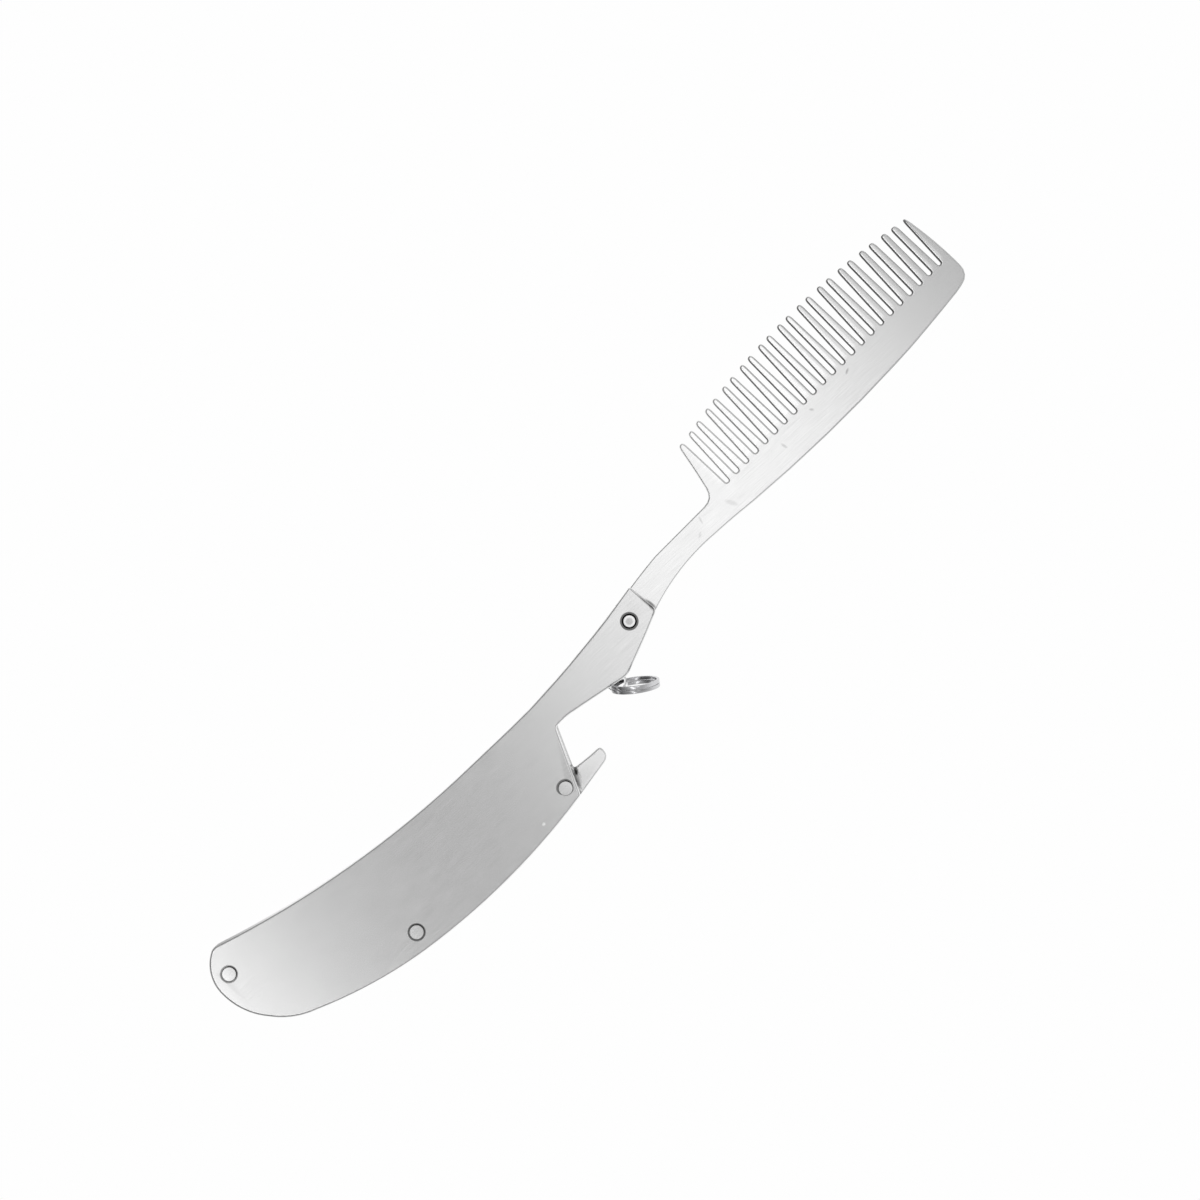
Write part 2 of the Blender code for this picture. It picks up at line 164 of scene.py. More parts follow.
@dataclass(frozen=True)
class SteelFinish:
    """Bare stainless steel: what rolling, brushing, tumbling and shearing leave on it.

    Lengths are millimetres. Faces are satin from a fine brush, and the sheared walls between them are rougher, in
    a tone of their own: on most finishes a darker one, on the scales and the comb a painted highlight. The walls'
    tone may run along the part into another, far_wall, from near_x to far_x. Wall_from and wall_to are how upright
    a surface's normal is where it starts to be a wall and where it is all wall.
    """

    name: str
    face: str
    # Colour of wear, and of painted shade under the marks that stand for it.
    worn_and_shaded: str
    wall: str
    roughness: float
    wall_roughness: float
    # Real brush lines are a third as wide, which is too fine for the picture to show.
    grain_width: float = 0.12
    grain_length: float = 5.0
    grain_spread: float = 0.04
    grain_detail: float = 2.0
    grain_mix: float = 0.6
    grain_low: float = 0.3
    grain_high: float = 0.7
    mottle_size: float = 7.0
    mottle_detail: float = 4.0
    bump_height: float = 0.0006
    wall_from: float = 0.97
    wall_to: float = 0.45
    # Colour of painted highlights.
    bright: str = "#fefefe"
    far_wall: str = ""
    near_x: float = 0.0
    far_x: float = 1.0

    def build(self) -> bpy.types.Material:
        """Make the material.

        Returns:
            The finished material.
        """
        material = bpy.data.materials.new(self.name)
        material.use_nodes = True
        tree = material.node_tree
        shader = tree.nodes["Principled BSDF"]
        coords = add(tree, "ShaderNodeTexCoord")
        spot = coords.outputs["Object"]
        across = 1 / (self.grain_width * MM)
        along = 1 / (self.grain_length * MM)
        lines = add(tree, "ShaderNodeMapping", {"Vector": spot, "Scale": (along, across, across)})
        grain = add(
            tree, "ShaderNodeTexNoise",
            {
                "Vector": lines.outputs[0],
                "Scale": 1.0,
                "Detail": self.grain_detail,
                "Roughness": self.grain_mix,
            },
        )
        wall = self.wall_share(tree, coords.outputs["Normal"])
        # Wear, and painted shade where a finish's marks stand for it.
        tone = add(
            tree, "ShaderNodeMix",
            {
                0: self.wear_and_shade(tree, spot),
                FIRST_COLOUR: linear(self.face),
                SECOND_COLOUR: linear(self.worn_and_shaded),
            },
            data_type="RGBA",
        )
        # Painted highlights in the bright colour.
        highlighted = add(
            tree, "ShaderNodeMix",
            {
                0: self.painted_highlight(tree, spot),
                FIRST_COLOUR: tone.outputs[MIXED_COLOUR],
                SECOND_COLOUR: linear(self.bright),
            },
            data_type="RGBA",
        )
        # Walls take their own tone. On the scales and the comb it is a painted highlight on the rounded edges,
        # darker along the part where far_wall is set.
        colour = add(
            tree, "ShaderNodeMix",
            {
                0: wall,
                FIRST_COLOUR: highlighted.outputs[MIXED_COLOUR],
                SECOND_COLOUR: self.wall_tone(tree, spot, coords.outputs["Normal"]),
            },
            data_type="RGBA",
        )
        satin = add(
            tree, "ShaderNodeMapRange",
            {
                "Value": grain.outputs[0],
                "From Min": self.grain_low,
                "From Max": self.grain_high,
                "To Min": self.roughness - self.grain_spread,
                "To Max": self.roughness + self.grain_spread,
            },
        )
        rough = add(tree, "ShaderNodeMix", {0: wall, 2: satin.outputs[0], 3: self.wall_roughness})
        bump = add(
            tree, "ShaderNodeBump",
            {"Height": grain.outputs[0], "Distance": self.bump_height * MM, "Strength": 1.0},
        )
        shader.inputs["Metallic"].default_value = 1.0
        tree.links.new(colour.outputs[MIXED_COLOUR], shader.inputs["Base Color"])
        tree.links.new(rough.outputs[0], shader.inputs["Roughness"])
        tree.links.new(bump.outputs[0], shader.inputs["Normal"])
        return material

    def wear_and_shade(self, tree: NodeTree, spot: Socket) -> Socket:
        """Say where the steel looks worn: soft clouds from handling.

        Args:
            tree: the material's tree.
            spot: place on the object.

        Returns:
            Socket that is 0 on fresh steel and 1 on worn steel.
        """
        clouds = add(
            tree, "ShaderNodeTexNoise",
            {
                "Vector": spot,
                "Scale": 1 / (self.mottle_size * MM),
                "Detail": self.mottle_detail,
            },
        )
        return clouds.outputs[0]

    def painted_highlight(self, tree: NodeTree, spot: Socket) -> NodeValue:
        """Say where a painted highlight brightens the steel: nowhere on plain steel.

        Args:
            tree: the material's tree.
            spot: place on the object.

        Returns:
            0, or a socket that is 1 under a painted highlight.
        """
        return 0.0

    def wall_tone(self, tree: NodeTree, spot: Socket, normal: Socket) -> NodeValue:
        """Colour the walls: in one tone, or in two that run into each other.

        Args:
            tree: the material's tree.
            spot: place on the object.
            normal: the surface's normal in the object's frame.

        Returns:
            The walls' linear colour, or a socket that gives it.
        """
        if not self.far_wall:
            return linear(self.wall)
        split = add(tree, "ShaderNodeSeparateXYZ", {0: spot})
        along = add(
            tree, "ShaderNodeMapRange",
            {
                "Value": split.outputs["X"],
                "From Min": place(self.near_x, 0.0).x,
                "From Max": place(self.far_x, 0.0).x,
            },
        )
        tone = add(
            tree, "ShaderNodeMix",
            {
                0: along.outputs[0],
                FIRST_COLOUR: linear(self.wall),
                SECOND_COLOUR: linear(self.far_wall),
            },
            data_type="RGBA",
        )
        return tone.outputs[MIXED_COLOUR]

    def wall_share(self, tree: NodeTree, normal: Socket) -> Socket:
        """Tell walls from faces by how far the surface turns away from up or down.

        Args:
            tree: the material's tree.
            normal: the surface's normal in the object's frame.

        Returns:
            Socket that is 0 on a face and 1 on a wall.
        """
        split = add(tree, "ShaderNodeSeparateXYZ", {0: normal})
        upright = add(tree, "ShaderNodeMath", {0: split.outputs["Z"]}, operation="ABSOLUTE")
        share = add(
            tree, "ShaderNodeMapRange",
            {"Value": upright.outputs[0], "From Min": self.wall_from, "From Max": self.wall_to},
        )
        return share.outputs[0]


@dataclass(frozen=True)
class PressedFinish(SteelFinish):
    """Rivet steel whose disc has a duller spot in its middle, where the press held it."""

    middle: tuple[float, float] = (0.0, 0.0)
    spot_radius: float = 0.6
    spot_edge: float = 0.2

    def wear_and_shade(self, tree: NodeTree, spot: Socket) -> Socket:
        """Say how far into the pressed spot a place lies.

        Args:
            tree: the material's tree.
            spot: place on the object.

        Returns:
            Socket that is 0 outside the pressed spot and 1 in it.
        """
        split = add(tree, "ShaderNodeSeparateXYZ", {0: spot})
        flat = add(
            tree, "ShaderNodeCombineXYZ", {"X": split.outputs["X"], "Y": split.outputs["Y"]},
        )
        away = add(
            tree, "ShaderNodeVectorMath", {0: flat.outputs[0], 1: tuple(place(*self.middle))},
            operation="DISTANCE",
        )
        share = add(
            tree, "ShaderNodeMapRange",
            {
                "Value": away.outputs["Value"],
                "From Min": (self.spot_radius + self.spot_edge) * MM,
                "From Max": (self.spot_radius - self.spot_edge) * MM,
            },
            interpolation_type="SMOOTHSTEP",
        )
        return share.outputs[0]


@dataclass(frozen=True)
class MarkedFinish(SteelFinish):
    """Steel with a few marks: dark scuffs, painted shade in grooves and hollows, and painted highlights as glints.
    """

    marks: tuple[Mark, ...] = ()
    glints: tuple[Mark, ...] = ()
    cloud_share: float = 0.1

    def wear_and_shade(self, tree: NodeTree, spot: Socket) -> Socket:
        """Add every mark's oval to the clouds of the plain steel.

        Args:
            tree: the material's tree.
            spot: place on the object.

        Returns:
            Socket that is 0 on fresh steel and 1 on worn steel or under painted shade.
        """
        clouds = SteelFinish.wear_and_shade(self, tree, spot)
        faint = add(
            tree, "ShaderNodeMath", {0: clouds, 1: self.cloud_share}, operation="MULTIPLY",
        ).outputs[0]
        return self.add_ovals(tree, spot, faint, self.marks)

    def painted_highlight(self, tree: NodeTree, spot: Socket) -> NodeValue:
        """Paint a bright highlight over every glint's oval."""
        return self.add_ovals(tree, spot, 0.0, self.glints)

    def add_ovals(
        self, tree: NodeTree, spot: Socket, start: NodeValue, marks: tuple[Mark, ...],
    ) -> NodeValue:
        """Add the ovals of some marks to a value.

        Args:
            tree: the material's tree.
            spot: place on the object.
            start: value or socket that the ovals are added to.
            marks: the ovals' places, sizes and depths.

        Returns:
            The start value itself, or the socket with the sum.
        """
        total = start
        for mark in marks:
            local = add(
                tree, "ShaderNodeMapping",
                {
                    "Vector": spot,
                    "Location": tuple(place(mark.x, mark.y)),
                    "Rotation": (0.0, 0.0, math.radians(mark.angle)),
                    "Scale": (mark.length * MM / 2, mark.width * MM / 2, 1.0),
                },
                vector_type="TEXTURE",
            )
            split = add(tree, "ShaderNodeSeparateXYZ", {0: local.outputs[0]})
            flat = add(
                tree, "ShaderNodeCombineXYZ", {"X": split.outputs["X"], "Y": split.outputs["Y"]},
            )
            reach = add(tree, "ShaderNodeVectorMath", {0: flat.outputs[0]}, operation="LENGTH")
            oval = add(
                tree, "ShaderNodeMapRange",
                {
                    "Value": reach.outputs["Value"],
                    "From Min": 1.0,
                    "From Max": 1.0 - mark.soft,
                    "To Max": mark.depth,
                },
                interpolation_type="SMOOTHSTEP",
            )
            total = add(
                tree, "ShaderNodeMath", {0: total, 1: oval.outputs[0]}, operation="ADD",
            ).outputs[0]
        return total


@dataclass(frozen=True)
class ToothedFinish(MarkedFinish):
    """Marked steel whose teeth carry a painted highlight, only on their left sides near the end.

    The first slot's foot, the slots' pitch, rise and lean follow the CAD comb. Painted shade sits in the slots'
    feet and on the teeth's left walls, more of it further along the comb between its two limits. Heights are above
    the line of the slots' feet. The facing limits are how far a wall faces the lit side where the painted shade
    starts and where it is full.
    """

    first_x: float = 27.9
    first_y: float = 6.04
    pitch: float = 2.3025
    rise: float = 0.055
    lean: float = 0.0384
    # The painted highlight on the teeth's left sides narrows and weakens from near to far.
    near: float = 36.0
    far: float = 58.0
    near_share: float = 0.74
    far_share: float = 0.47
    soft_share: float = 0.09
    near_strength: float = 0.45
    highlight_height: tuple[float, float] = (0.0, 1.2)
    highlight_slots: tuple[float, float] = (-0.9, 0.1)
    # Colour and limits of the painted shade in the slots and on the teeth's left walls.
    painted_shade: str = "#343434"
    shade_from: float = 32.0
    shade_to: float = 46.0
    shade_height: tuple[float, float] = (-0.5, 0.1)
    shade_facing: tuple[float, float] = (0.3, -0.4)
    lit_side: tuple[float, float, float] = (1.0, -0.45, 0.0)

    def over_feet(self, tree: NodeTree, spot: Socket) -> tuple[Socket, Socket]:
        """Measure a place from the first slot's foot and from the line of all feet.

        Args:
            tree: the material's tree.
            spot: place on the object.

        Returns:
            Sockets with the millimetres along the comb and above the feet.
        """
        local = add(
            tree, "ShaderNodeMapping",
            {
                "Vector": spot,
                "Location": tuple(place(self.first_x, self.first_y)),
                "Scale": (MM, MM, MM),
            },
            vector_type="TEXTURE",
        )
        split = add(tree, "ShaderNodeSeparateXYZ", {0: local.outputs[0]})
        along = split.outputs["X"]
        foot = add(tree, "ShaderNodeMath", {0: along, 1: self.rise}, operation="MULTIPLY")
        above = add(
            tree, "ShaderNodeMath", {0: split.outputs["Y"], 1: foot.outputs[0]},
            operation="SUBTRACT",
        )
        return along, above.outputs[0]

    def fade(
        self, tree: NodeTree, share: Socket, value: Socket, limits: tuple[float, float],
    ) -> Socket:
        """Let a share fade in between two limits of a value.

        Args:
            tree: the material's tree.
            share: the full share.
            value: the value that is looked at.
            limits: where the share is still nothing and where it is full.

        Returns:
            Socket with the faded share.
        """
        part = add(
            tree, "ShaderNodeMapRange",
            {"Value": value, "From Min": limits[0], "From Max": limits[1]},
            interpolation_type="SMOOTHSTEP",
        )
        faded = add(tree, "ShaderNodeMath", {0: share, 1: part.outputs[0]}, operation="MULTIPLY")
        return faded.outputs[0]

    def wall_tone(self, tree: NodeTree, spot: Socket, normal: Socket) -> NodeValue:
        """Darken the plain walls' tone with painted shade in the slots and on the teeth's left walls.

        Args:
            tree: the material's tree.
            spot: place on the object.
            normal: the surface's normal in the object's frame.

        Returns:
            Socket with the walls' colour.
        """
        plain = MarkedFinish.wall_tone(self, tree, spot, normal)
        along, above = self.over_feet(tree, spot)
        share = add(
            tree, "ShaderNodeMapRange",
            {
                "Value": along,
                "From Min": self.shade_from - self.first_x,
                "From Max": self.shade_to - self.first_x,
            },
        ).outputs[0]
        facing = add(
            tree, "ShaderNodeVectorMath", {0: normal, 1: self.lit_side}, operation="DOT_PRODUCT",
        ).outputs["Value"]
        share = self.fade(tree, share, above, self.shade_height)
        share = self.fade(tree, share, facing, self.shade_facing)
        tone = add(
            tree, "ShaderNodeMix",
            {0: share, FIRST_COLOUR: plain, SECOND_COLOUR: linear(self.painted_shade)}, data_type="RGBA",
        )
        return tone.outputs[MIXED_COLOUR]

    def painted_highlight(self, tree: NodeTree, spot: Socket) -> NodeValue:
        """Say where a place lies across its tooth, and paint a highlight on the bright side of it.

        Args:
            tree: the material's tree.
            spot: place on the object.

        Returns:
            Socket that is 1 on the side of a tooth that gets the painted highlight and 0 off the teeth.
        """
        along, above = self.over_feet(tree, spot)
        upright = add(
            tree, "ShaderNodeMath", {0: above, 1: self.lean, 2: along}, operation="MULTIPLY_ADD",
        )
        slots = add(
            tree, "ShaderNodeMath", {0: upright.outputs[0], 1: self.pitch}, operation="DIVIDE",
        )
        across = add(tree, "ShaderNodeMath", {0: slots.outputs[0]}, operation="FRACT")
        limit = add(
            tree, "ShaderNodeMapRange",
            {
                "Value": along,
                "From Min": self.near - self.first_x,
                "From Max": self.far - self.first_x,
                "To Min": self.near_share,
                "To Max": self.far_share,
            },
        )
        inside = add(
            tree, "ShaderNodeMath", {0: limit.outputs[0], 1: across.outputs[0]},
            operation="SUBTRACT",
        )
        bright = add(
            tree, "ShaderNodeMapRange",
            {
                "Value": inside.outputs[0],
                "From Min": -self.soft_share,
                "From Max": self.soft_share,
            },
            interpolation_type="SMOOTHSTEP",
        )
        strength = add(
            tree, "ShaderNodeMapRange",
            {
                "Value": along,
                "From Min": self.near - self.first_x,
                "From Max": self.far - self.first_x,
                "To Min": self.near_strength,
            },
        )
        on_teeth = self.fade(tree, bright.outputs[0], above, self.highlight_height)
        strong = add(
            tree, "ShaderNodeMath", {0: on_teeth, 1: strength.outputs[0]}, operation="MULTIPLY",
        )
        return self.fade(tree, strong.outputs[0], slots.outputs[0], self.highlight_slots)


# Cold-rolled sheet brushed along the handle: bright, with soft blurred reflections. Its rounded edges carry a
# painted highlight, darker towards the tail. Painted shade sits in the rivets' seats, most of it at the pivot, and
# along the front end, over the gap to the comb. One speck carries a painted highlight.
SCALE_STEEL = MarkedFinish(
    "satin brushed scale steel",
    face="#dcdcdc", worn_and_shaded="#383838", wall="#fefefe", far_wall="#404040", near_x=-74.0, far_x=-91.0,
    roughness=0.22, wall_roughness=0.4, wall_from=0.9, wall_to=0.2, cloud_share=0.06,
    marks=(
        # Painted shade in the rivets' seats.
        Mark(0.0, 0.0, 3.24, 3.24, 0.0, 0.82, 0.08),
        Mark(-26.6, -13.05, 3.1, 2.75, 0.0, 0.72, 0.14),
        Mark(-61.05, -14.25, 3.2, 3.2, 0.0, 0.78, 0.12),
        Mark(-88.8, 1.7, 3.2, 3.2, 0.0, 0.66, 0.12),
        # Painted shade along the front end, over the gap to the comb.
        Mark(4.28, 0.1, 5.2, 0.8, 98.5, 0.5, 0.7),
        Mark(4.3, -0.8, 2.0, 0.9, 82.0, 0.35, 0.7),
        Mark(3.9, -1.75, 2.0, 0.6, 27.0, 0.35),
    ),
    # A painted highlight on one speck.
    glints=(Mark(-33.3, -15.3, 0.9, 0.9, 0.0, 1.0),),
)
# Ground and polished blade sheet, a little brighter than the scales. The wedge at the claw's root is darkened with
# painted shade.
BLADE_STEEL = MarkedFinish(
    "ground opener steel", face="#f2f2f2", worn_and_shaded="#2c2c2c", wall="#a8a8a8",
    roughness=0.22, wall_roughness=0.4, wall_from=0.9, wall_to=0.2, cloud_share=0.04,
    marks=(
        # Painted shade in the wedge at the claw's root.
        Mark(-23.4, -12.35, 2.2, 0.9, 61.0, 0.7, 0.6),
        Mark(-24.15, -13.55, 4.4, 1.1, 62.0, 0.4, 0.6),
    ),
)
# The comb's own blade of the same sheet, with the scuffs that use has left on it, and a painted shadow where it
# runs under the scale's end. Its edges carry a painted highlight at the neck and painted shade between the far
# teeth.
COMB_STEEL = ToothedFinish(
    "ground comb steel",
    face="#e6e6e6", worn_and_shaded="#6c6c6c", wall="#fefefe", far_wall="#808080", near_x=14.0, far_x=48.0,
    roughness=0.22, wall_roughness=0.4, cloud_share=0.052,
    marks=(
        # Painted shadow where the blade runs under the scale's end.
        Mark(4.6, -0.3, 3.4, 0.9, 98.5, 0.9),
        Mark(38.85, 4.1, 1.8, 0.7, 105.0, 0.26),
        Mark(46.3, 5.5, 1.2, 0.6, -50.0, 0.31),
        Mark(55.0, 6.2, 1.6, 0.6, 30.0, 0.42),
        Mark(26.0, 3.0, 3.2, 1.2, -60.0, 0.17),
        Mark(20.2, 4.4, 2.0, 0.5, 75.0, 0.24),
        Mark(18.4, 2.6, 1.6, 0.7, 35.0, 0.18),
    ),
)
# Pressed rivet wire: bright at the rim, duller where the press held the pivot's head.
PIVOT_STEEL = PressedFinish(
    "pressed pivot steel", face="#ececec", worn_and_shaded="#c0c0c0", wall="#4c4c4c",
    roughness=0.25, wall_roughness=0.35, bump_height=0.0003,
)
# The other rivets' heads are ground bright, without the spot.
RIVET_STEEL = SteelFinish(
    "ground rivet steel", face="#e2e2e2", worn_and_shaded="#d8d8d8", wall="#7c7c7c",
    roughness=0.25, wall_roughness=0.35,
)
# Spring wire of the split ring: drawn smooth, with painted shade in the eye and in patches along the ring.
RING_STEEL = MarkedFinish(
    "drawn spring steel", face="#dcdcde", worn_and_shaded="#161616", wall="#d0d0d2",
    roughness=0.22, wall_roughness=0.22, grain_length=1.0, cloud_share=0.08,
    marks=(
        # Painted shade in the eye and in patches along the ring.
        Mark(-8.4, -6.6, 2.6, 1.2, -12.0, 1.0, 0.3),
        Mark(-4.3, -9.1, 3.6, 1.3, -43.0, 0.75, 0.5),
        Mark(-6.9, -9.2, 5.6, 0.4, -33.0, 0.4),
        Mark(-4.9, -10.7, 3.4, 1.2, -30.0, 0.25),
    ),
)


def finished(obj: bpy.types.Object, body: str, material: bpy.types.Material) -> None:
    """Give a piece its material and its body.

    Args:
        obj: the finished piece.
        body: CAD body that it moves with.
        material: the material that it shows.
    """
    obj.data.materials.clear()
    obj.data.materials.append(material)
    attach(obj, body)


def face_outwards(mesh: bpy.types.Mesh) -> None:
    """Weld a generated mesh and turn all its faces outwards.

    Args:
        mesh: the mesh, which is changed in place.
    """
    bm = bmesh.new()
    bm.from_mesh(mesh)
    bmesh.ops.remove_doubles(bm, verts=bm.verts, dist=WELD * MM)
    bmesh.ops.recalc_face_normals(bm, faces=bm.faces)
    bm.to_mesh(mesh)
    bm.free()


@dataclass
class Outline:
    """A plate's outline from above, anticlockwise, and how far each corner may be rounded."""

    points: list[Vector]
    edge_round: float
    reach: list[float] = field(init=False)

    def __post_init__(self) -> None:
        """Work out each corner's rounding: less on tight bends, so no ring crosses itself."""
        spots = self.points
        count = len(spots)
        steps = [spots[(i + 1) % count] - spots[i] for i in range(count)]
        self.reach = []
        for i in range(count):
            bend = steps[i - 1].angle_signed(steps[i])
            radius = min(steps[i - 1].length, steps[i].length) / max(-bend, STRAIGHT)
            self.reach.append(min(self.edge_round, TIGHTEST * radius))
        for i in [*range(count), *range(count)]:
            slack = GRADUAL * steps[i - 1].length
            self.reach[i] = min(self.reach[i], self.reach[i - 1] + slack)
        for i in [*reversed(range(count)), *reversed(range(count))]:
            slack = GRADUAL * steps[i - 1].length
            self.reach[i - 1] = min(self.reach[i - 1], self.reach[i] + slack)

    def ring(self, share: float) -> list[Vector]:
        """Move every corner inwards.

        Args:
            share: part of the corner's own rounding that it moves.

        Returns:
            The moved corners.
        """
        spots = self.points
        count = len(spots)
        moved = []
        for i in range(count):
            before = (spots[i] - spots[i - 1]).normalized()
            after = (spots[(i + 1) % count] - spots[i]).normalized()
            inwards = Vector((-before.y - after.y, before.x + after.x))
            miter = inwards / max(1 + before.dot(after), SHARPEST)
            moved.append(spots[i] + miter * (self.reach[i] * share + SKIN * MM))
        return moved


@dataclass
class Plate:
    """A flat steel plate: the CAD node's own shape with its outline's edges rounded."""

    node: str
    body: str
    slot: str
    finish: SteelFinish
    layer: Layer
    edge_round: float = 0.28
    edge_segments: int = 4
    flat_angle: float = 1.0
    shortest_edge: float = 0.03
    weld: float = 0.0005
    face_weight: int = 100

    def solid(self) -> bmesh.types.BMesh:
        """Copy the CAD node's mesh and weld its split corners.

        Returns:
            The copy, which the caller frees.
        """
        bm = bmesh.new()
        bm.from_mesh(frame["nodes"][self.node].data)
        bmesh.ops.remove_doubles(bm, verts=bm.verts, dist=self.weld * MM)
        return bm

    def outline(self) -> Outline:
        """Read the outline from the underside of the CAD node's mesh.

        Each loop starts at its first edge, so that every run gives the same mesh.

        Returns:
            The longest loop around the underside's faces.
        """
        bm = self.solid()
        bmesh.ops.remove_doubles(bm, verts=bm.verts, dist=self.shortest_edge * MM)
        bmesh.ops.dissolve_limit(
            bm, angle_limit=math.radians(self.flat_angle), verts=bm.verts, edges=bm.edges,
        )
        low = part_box(self.node)[0].z + SKIN * MM
        flat = {face for face in bm.faces if all(vert.co.z < low for vert in face.verts)}
        rim = {edge for edge in bm.edges if sum(face in flat for face in edge.link_faces) == 1}
        bm.edges.index_update()
        loops = []
        while rim:
            edge = min(rim, key=lambda edge: edge.index)
            rim.discard(edge)
            first, here = edge.verts
            loop = [here.co.xy]
            while here != first:
                edge = next(edge for edge in here.link_edges if edge in rim)
                rim.discard(edge)
                here = edge.other_vert(here)
                loop.append(here.co.xy)
            loops.append(loop)
        bm.free()
        longest = max(
            loops, key=lambda loop: sum((a - b).length for a, b in zip(loop, loop[1:])),
        )
        area = sum(a.cross(b) for a, b in zip(longest, longest[1:] + longest[:1]))
        return Outline(longest if area > 0 else longest[::-1], self.edge_round * MM)

    def body_mesh(self) -> bpy.types.Mesh:
        """Stack rings of the outline into a body with rounded edges and no holes.

        Returns:
            The closed body.
        """
        outline = self.outline()
        low, high = (corner.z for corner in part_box(self.node))
        levels = []
        for step in range(self.edge_segments + 1):
            turn = math.pi / 2 * step / self.edge_segments
            levels.append((1 - math.sin(turn), SKIN + self.edge_round * (1 - math.cos(turn))))
        rings = [(share, low + drop * MM) for share, drop in levels]
        rings += [(share, high - drop * MM) for share, drop in reversed(levels)]
        bm = bmesh.new()
        loops = []
        for share, height in rings:
            loops.append([bm.verts.new((*spot, height)) for spot in outline.ring(share)])
        for lower, upper in zip(loops, loops[1:]):
            for i in range(len(lower)):
                bm.faces.new((lower[i - 1], lower[i], upper[i], upper[i - 1]))
        bm.faces.new(loops[0][::-1])
        bm.faces.new(loops[-1])
        mesh = bpy.data.meshes.new(f"{self.node}_body")
        bm.to_mesh(mesh)
        bm.free()
        return mesh

    def build(self) -> bpy.types.Object:
        """Round the outline's edges and cut the body with the CAD solid's holes and hollows.

        Returns:
            The plate, which stands for its CAD node.
        """
        body = bpy.data.objects.new(f"{self.node}_body", self.body_mesh())
        holed_name = f"{self.node}_holed"
        holed = bpy.data.objects.new(holed_name, bpy.data.meshes.new(holed_name))
        solid = self.solid()
        solid.to_mesh(holed.data)
        solid.free()
        to_millimetres = Matrix.Scale(1 / MM, 4)
        body.data.transform(to_millimetres)
        holed.data.transform(to_millimetres)
        for item in (body, holed):
            bpy.context.collection.objects.link(item)
        cut = body.modifiers.new("holes of the solid", "BOOLEAN")
        cut.operation = "INTERSECT"
        cut.solver = "EXACT"
        cut.object = holed
        graph = bpy.context.evaluated_depsgraph_get()
        mesh = bpy.data.meshes.new_from_object(body.evaluated_get(graph))
        mesh.name = f"{self.node}_dressed"
        mesh.transform(Matrix.Scale(MM, 4))
        for item in (body, holed):
            bpy.data.objects.remove(item)
        mesh.shade_smooth()
        plate = bpy.data.objects.new(mesh.name, mesh)
        bpy.context.collection.objects.link(plate)
        flat = plate.modifiers.new("flat faces", "WEIGHTED_NORMAL")
        flat.mode = "FACE_AREA"
        flat.weight = self.face_weight
        return plate

    def dress(self, plate: bpy.types.Object) -> None:
        """Finish the plate and let it stand for its CAD node."""
        finished(plate, self.body, self.finish.build())
        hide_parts(self.node)


@dataclass
class Handle:
    """The two scales and the plate between them."""

    plates: list[Plate] = field(default_factory=lambda: [
        Plate("scale_back", "handle", "satin_steel", SCALE_STEEL, Layer.OUTER, edge_round=0.4),
        Plate("scale_front", "handle", "satin_steel", SCALE_STEEL, Layer.OUTER, edge_round=0.4),
        Plate("opener_plate", "handle", "blade_steel", BLADE_STEEL, Layer.INNER),
    ])

    def build(self) -> None:
        """Make and dress the three plates."""
        for plate in self.plates:
            plate.dress(plate.build())
            log.info("%s: %s plate rounded and dressed", plate.node, plate.layer.value)


@dataclass
class Comb:
    """The folding comb blade."""

    blade: Plate = field(default_factory=lambda: Plate(
        "comb_blade", "comb", "blade_steel", COMB_STEEL, Layer.INNER, edge_round=0.3,
    ))

    def build(self) -> None:
        """Make and dress the blade."""
        self.blade.dress(self.blade.build())
        log.info("comb_blade: teeth rounded and dressed")


@dataclass
class Tree:
    """A Geometry Nodes tree on one carrier mesh, with its inputs set by name."""

    name: str
    inputs: dict[str, float]

    def start(self) -> NodeTree:
        """Open the tree with a geometry socket and one number for each named input.

        Returns:
            The new tree.
        """
        tree = bpy.data.node_groups.new(self.name, "GeometryNodeTree")
        tree.interface.new_socket("Geometry", in_out="INPUT", socket_type="NodeSocketGeometry")
        for name in self.inputs:
            tree.interface.new_socket(name, in_out="INPUT", socket_type="NodeSocketFloat")
        tree.interface.new_socket("Geometry", in_out="OUTPUT", socket_type="NodeSocketGeometry")
        return tree

    def run(self, tree: NodeTree, carrier: bpy.types.Mesh, name: str) -> bpy.types.Object:
        """Evaluate the tree on its carrier and keep the result as a plain mesh.

        Args:
            tree: the finished tree.
            carrier: mesh whose points the tree starts from.
            name: name of the new piece.

        Returns:
            Object with the evaluated mesh and no modifier.
        """
        maker = bpy.data.objects.new(f"{name}_maker", carrier)
        bpy.context.collection.objects.link(maker)
        modifier = maker.modifiers.new(self.name, "NODES")
        modifier.node_group = tree
        for item in tree.interface.items_tree:
            if item.item_type == "SOCKET" and item.name in self.inputs:
                modifier[item.identifier] = self.inputs[item.name]
        graph = bpy.context.evaluated_depsgraph_get()
        mesh = bpy.data.meshes.new_from_object(maker.evaluated_get(graph))
        mesh.name = name
        bpy.data.objects.remove(maker)
        piece = bpy.data.objects.new(name, mesh)
        bpy.context.collection.objects.link(piece)
        return piece


def set_material(mesh: bpy.types.Mesh) -> bpy.types.Material:
    """Find the material that a tree has set on its mesh, past any empty slot."""
    return next(material for material in mesh.materials if material)


